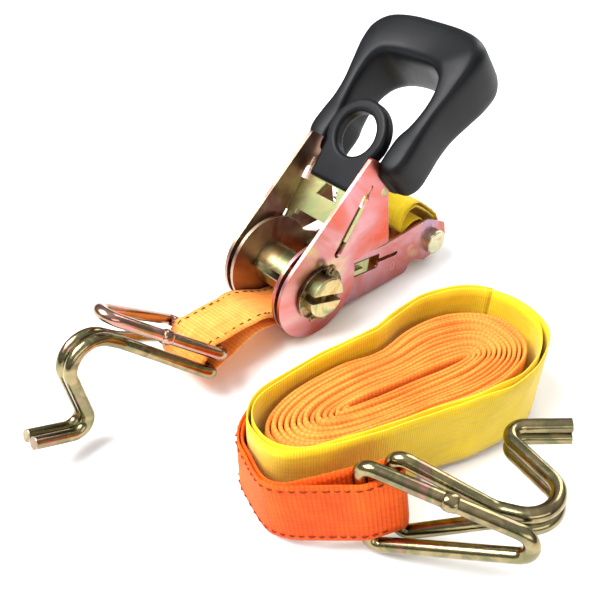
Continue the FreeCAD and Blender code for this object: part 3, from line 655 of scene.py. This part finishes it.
def wound_strap():
    """The long strap, wound in a long oval from the folded middle outward."""
    most_turns, first_angle = 12.4, 2.6
    raw = []
    per = 180
    for k in range(int(most_turns * per)):
        a = 2 * math.pi * k / per
        grow = -ROLL_WID / 2 + 1.25 + STRAP_PITCH * k / per
        if grow > -STRAP_T / 2:
            break
        x, y = oval(a + first_angle, grow)
        raw.append(on_roll(x, y, ROLL_FOOT + STRAP_W / 2 - 0.1))
    path = even(raw, 1.7)
    up = [Vector((0, 0, 1))] * len(path)

    def sway(s, t):
        return 0.05 * math.sin(s / 11.0 + 2.0 * t) + 0.03 * math.sin(s / 3.7)

    def telescoped(s, t):
        return 0.45 * math.sin(s / 61.0) + 0.35 * math.sin(s / 17.3 + 1.0) + 0.16 * math.sin(s / 4.1)

    long_way = on_roll(1, 0, 0) - on_roll(0, 0, 0)
    outward = [t.cross(Vector((0, 0, 1))) for t in tangents(path)]
    short_way = Vector((-long_way.y, long_way.x, 0))
    packed = [1.0 + (END_SLACK - 1.0) * abs(q.dot(long_way)) + 0.14 * q.dot(short_way) for q in outward]
    band = Band(path, up, width=STRAP_W - 1.6, thick=1.42, lift=sway, rise=telescoped, swell=packed)
    piece = band.make("wound_strap_webbing", ORANGE_ROLL, "roll")
    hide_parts("strap_roll")


def roll_sleeve():
    """Thin flat tube round the roll: two layers of yellow fabric, taller than the webbing inside."""
    def turn(grow, count):
        seam = math.radians(24.0)
        raw = [on_roll(*oval(seam + 2 * math.pi * k / count, grow), SLEEVE_FOOT + SLEEVE_W / 2)
               for k in range(count + 5)]
        raw = [p.lerp(p + (p - on_roll(0, 0, p.z - GROUND)).normalized() * 0.9,
                      max(0.0, (k - count + 2) / 6.0)) for k, p in enumerate(raw)]
        return even(raw, 2.2)

    def height(s, t):
        top = 0.5 * (t + 1.0)
        return top * (1.1 * math.sin(s / 23.0 + 0.7) + 0.7 * math.sin(s / 8.3)) - 0.6 * top

    def puckers(s, t):
        top = 0.5 * (t + 1.0)
        return (0.20 * math.sin(s / 4.7 + 1.7 * t) + 0.30 * top * math.sin(s / 9.1 + 2.0)
                + 0.18 * math.sin(s / 2.9 - 2.6 * t) * math.sin(s / 31.0))

    bands = []
    for grow in (1.0, 2.75):
        path = turn(grow, 220)
        bands.append(Band(path, [Vector((0, 0, 1))] * len(path), width=SLEEVE_W - 1.0, thick=0.7,
                          lift=puckers, rise=height))
    piece = join_bands("roll_sleeve_fabric", bands, YELLOW, "roll")
    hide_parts("roll_sleeve")


def outer_turn():
    """Bare webbing from the back of the roll round its left end to the long hook, sewn back on itself."""
    turn, v, d = bar_turn(HOOK_2)
    z = 0.3 + STRAP_W / 2
    count = 40
    raw = [on_roll(*oval(2 * math.pi * i / count, SLEEVE_OUT + 2.2), z) for i in range(11, 21)]
    path = smooth_path(raw, 2.0)
    ways = [Vector((0, 0, 1))] * len(path)
    last, run = path[-1], (path[-1] - path[-3]).normalized()
    end = Vector(HOOK_2["at"]) + d * HOOK_2["neck"]
    gap = (end - last).length
    curve = bezier(last, last + run * gap * 0.4, end + d * gap * 0.4, end, 22)
    path += curve
    for k in range(1, len(curve) + 1):
        s = k / len(curve)
        ways.append((Vector((0, 0, 1)) * (1 - s) + v * s).normalized())
    layer = STRAP_T / 2 + PLY_GAP
    one, two = offset(path, ways, layer), offset(path, ways, -layer)
    if (one[-1] - turn[0]).length > (two[-1] - turn[0]).length:
        one, two = two, one
    centre = on_roll(0, 0, z)
    far = len(one) // 2
    outer_first = (one[far] - centre).length > (two[far] - centre).length
    inner, outer = (two, one) if outer_first else (one, two)
    sewn = 46
    if not outer_first:
        turn = list(reversed(turn))
    line = outer[-sewn:] + turn[1:-1] + list(reversed(inner))
    dirs = ways[-sewn:] + [v] * (len(turn) - 2) + list(reversed(ways))
    fair(line, sewn - 10, sewn + 26, 16)

    def wave(s, t):
        return 0.06 * math.sin(s / 9.0) + 0.05 * math.sin(s / 4.0 + t)

    band = Band(line, dirs, width=STRAP_W - 0.4, lift=wave)
    piece = band.make("outer_turn_webbing", ORANGE_OUT, "roll")
    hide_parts("roll_outer_turn", "long_strap_eye")
    bend = max(range(len(turn)), key=lambda k: (turn[k] - outer[-1]).length)
    face = Band(line[:sewn + bend - 6], dirs[:sewn + bend - 6], width=STRAP_W - 0.4, lift=wave)
    total = face.along[-1]
    mid = sewn // 2
    side = 1 if face.frames[mid][1].dot(face.path[mid] - centre) > 0 else -1
    stitches("outer_turn_stitching", face, ((0.84, 3, total - 4), (-0.84, 3, total - 4)), side, THREAD_ORANGE,
             "roll")


# ---- grip ----------------------------------------------------------------------------------------
HANDLE_ANG = math.radians(40.0)
# Half of the grip from the leg's lower end to the middle of the end bar: inner edge (along the handle,
# out from its middle), outer edge, then the underside and the top, both square to the handle.
GRIP_HALF = (
    ((55.0, 16.4), (55.2, 21.0), -4.8, 13.0), ((57.4, 16.2), (56.8, 25.6), -6.8, 14.8),
    ((63.0, 16.2), (61.8, 28.2), -7.8, 15.8), ((71.5, 16.3), (70.5, 28.0), -7.9, 15.8),
    ((78.0, 18.4), (78.0, 27.2), -7.9, 15.5), ((86.0, 19.8), (87.0, 27.4), -8.2, 15.8),
    ((94.0, 19.8), (97.0, 29.2), -9.6, 16.8), ((100.6, 17.8), (107.5, 30.9), -11.6, 18.2),
    ((104.4, 13.6), (116.4, 30.4), -13.2, 18.8), ((105.6, 8.8), (123.2, 25.6), -13.0, 18.2),
    ((106.0, 4.2), (126.4, 15.0), -12.4, 17.6), ((106.1, 0.0), (127.0, 0.0), -12.0, 17.4))


def on_handle(along, y, square):
    c, s = math.cos(HANDLE_ANG), math.sin(HANDLE_ANG)
    return Vector((along * c - square * s, y, along * s + square * c))


def rounded_square(parts, power):
    out = []
    for k in range(parts):
        a = 2 * math.pi * k / parts
        c, s = math.cos(a), math.sin(a)
        out.append((math.copysign(abs(c) ** power, c), math.copysign(abs(s) ** power, s)))
    return out


def grip_rubber():
    """Moulded rubber grip: two legs over the side plates and a thick rounded end bar."""
    rows = [(Vector((*i, lo)), Vector((*o, hi))) for i, o, lo, hi in GRIP_HALF]
    flip = Vector((1, -1, 1))
    rows += [(i * flip, o * flip) for i, o in reversed(rows[:-1])]
    inner = smooth_even([r[0] for r in rows], 5)
    outer = smooth_even([r[1] for r in rows], 5)
    ring = rounded_square(32, 0.40)
    sections = [(i, o, 1.0, 0.0) for i, o in zip(inner, outer)]
    last = len(inner) - 1
    for k, shrink, out in ((0, 0.93, 0.5), (0, 0.78, 1.0), (0, 0.50, 1.25)):
        sections.insert(0, (inner[k], outer[k], shrink, -out))
        sections.append((inner[last - k], outer[last - k], shrink, -out))
    verts, faces = [], []
    for i, o, shrink, back in sections:
        flat_i, flat_o = Vector((i.x, i.y, 0)), Vector((o.x, o.y, 0))
        mid, half = (flat_i + flat_o) / 2, (flat_o - flat_i) / 2
        low, high = i.z, o.z
        for x, z in ring:
            p = mid + half * (x * shrink)
            verts.append(on_handle(p.x + back, p.y, (low + high) / 2 + z * shrink * (high - low) / 2))
    m = len(ring)
    for j in range(len(sections) - 1):
        for k in range(m):
            k2 = (k + 1) % m
            faces.append((j * m + k, j * m + k2, (j + 1) * m + k2, (j + 1) * m + k))
    faces.append(tuple(reversed(range(m))))
    faces.append(tuple((len(sections) - 1) * m + k for k in range(m)))
    piece = finish_piece("grip_rubber", verts, faces, None, BLACK, "handle")
    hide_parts("grip")


# ---- weld beads ----------------------------------------------------------------------------------
def weld_bead(name, hook, body, along, side_of_bar, material):
    """Lumpy bead where the keeper ring's wire is closed."""
    origin, u, v, w = hook_axes(hook)
    foot, apex = origin + v * RING_HW * side_of_bar, origin + u * RING_TIP
    axis = (apex - foot).normalized()
    centre = foot.lerp(apex, along)
    side = axis.cross(w).normalized()
    verts, faces = [], []
    rings, ring = 9, 20
    for i in range(rings):
        q = -1 + 2 * i / (rings - 1)
        for k in range(ring):
            a = 2 * math.pi * k / ring
            lump = 0.10 * math.sin(3 * a + 5 * q) + 0.06 * math.sin(5 * a - 9 * q)
            r = WIRE_R - 0.08 + (0.62 + lump) * math.sqrt(max(0.0, 1 - q * q))
            verts.append(centre + axis * (q * 2.4) + (w * math.cos(a) + side * math.sin(a)) * r)
    for i in range(rings - 1):
        for k in range(ring):
            k2 = (k + 1) % ring
            faces.append((i * ring + k, i * ring + k2, (i + 1) * ring + k2, (i + 1) * ring + k))
    faces.append(tuple(reversed(range(ring))))
    faces.append(tuple(range((rings - 1) * ring, rings * ring)))
    return finish_piece(name, verts, faces, None, material, body)


# ---- stage ---------------------------------------------------------------------------------------
def add_floor():
    mesh = bpy.data.meshes.new("floor")
    half, low = 3.0, -0.0004
    mesh.from_pydata([(-half, -half, low), (half, -half, low), (half, half, low), (-half, half, low)],
                     [], [(0, 1, 2, 3)])
    floor = bpy.data.objects.new("floor", mesh)
    n = Nodes("pale floor")
    n.link(n.ramp(n.noise(n.place(), 3.0), ((0.3, (0.93, 0.93, 0.93)), (0.7, (0.96, 0.96, 0.96)))),
           n.shader.inputs["Base Color"])
    n.shader.inputs["Roughness"].default_value = 0.85
    n.shader.inputs["Specular IOR Level"].default_value = 0.1
    mesh.materials.append(n.mat)
    bpy.context.scene.collection.objects.link(floor)


def add_light(name, place, target, size, power):
    data = bpy.data.lights.new(name, "AREA")
    data.shape = "RECTANGLE"
    data.size, data.size_y = size
    data.energy = power
    lamp = bpy.data.objects.new(name, data)
    lamp.location = place
    lamp.rotation_euler = (Vector(target) - Vector(place)).to_track_quat("-Z", "Y").to_euler()
    bpy.context.scene.collection.objects.link(lamp)


def add_world(strength):
    world = bpy.data.worlds.new("studio")
    world.use_nodes = True
    back = world.node_tree.nodes["Background"]
    tree = world.node_tree
    way = tree.nodes.new("ShaderNodeTexCoord").outputs["Generated"]
    split = tree.nodes.new("ShaderNodeSeparateXYZ")
    tree.links.new(way, split.inputs[0])
    high = tree.nodes.new("ShaderNodeMapRange")
    high.inputs["From Min"].default_value = -0.2
    high.inputs["From Max"].default_value = 1.0
    tree.links.new(split.outputs["Z"], high.inputs["Value"])
    sky = tree.nodes.new("ShaderNodeValToRGB")
    band = sky.color_ramp
    band.elements.new(0.30)
    band.elements.new(0.55)
    for element, (at, level) in zip(band.elements, ((0.0, 0.25), (0.30, 0.30), (0.55, 0.55), (1.0, 1.25))):
        element.position = at
        element.color = (level, level, level * 1.03, 1.0)
    tree.links.new(high.outputs["Result"], sky.inputs["Fac"])
    tree.links.new(sky.outputs["Color"], back.inputs["Color"])
    back.inputs["Strength"].default_value = strength
    bpy.context.scene.world = world


def add_view():
    """Plain display colours, so that the dyes and the plating keep their strength."""
    settings = bpy.context.scene.view_settings
    settings.view_transform = "Standard"
    settings.look = "None"


def add_camera():
    """Main view: from the near left, 38 degrees above the ground."""
    azimuth, elevation, reach = math.radians(-42.0), math.radians(38.0), 0.328
    back = Vector((math.sin(azimuth) * math.cos(elevation), -math.cos(azimuth) * math.cos(elevation),
                   math.sin(elevation)))
    aim = spot((5.5, -0.8, -17.7))
    data = bpy.data.cameras.new("camera")
    data.lens, data.sensor_width = 42.0, 36.0
    data.clip_start = 0.01
    camera = bpy.data.objects.new("camera", data)
    camera.location = aim + back * reach
    camera.rotation_euler = (-back).to_track_quat("-Z", "Y").to_euler()
    bpy.context.scene.collection.objects.link(camera)
    bpy.context.scene.camera = camera


add_view()
add_camera()
add_floor()
add_world(0.75)
centre = spot((0, -40, 0))
add_light("key", centre + Vector((-0.55, 0.35, 0.95)), centre, (0.7, 0.7), 30.0)
add_light("front fill", centre + Vector((-0.35, -1.1, 0.55)), centre, (1.0, 0.4), 4.0)
add_light("right rim", centre + Vector((1.0, 0.1, 0.6)), centre, (0.4, 1.0), 7.0)

dress_cad()
short_strap()
anchor_sleeve()
wound_strap()
roll_sleeve()
outer_turn()
grip_rubber()
weld_bead("short_ring_weld", HOOK_1, "short_hook_ring", 0.42, 1, ZINC_RING)
weld_bead("long_ring_weld", HOOK_2, "long_hook_ring", 0.42, 1, ZINC_WIRE)
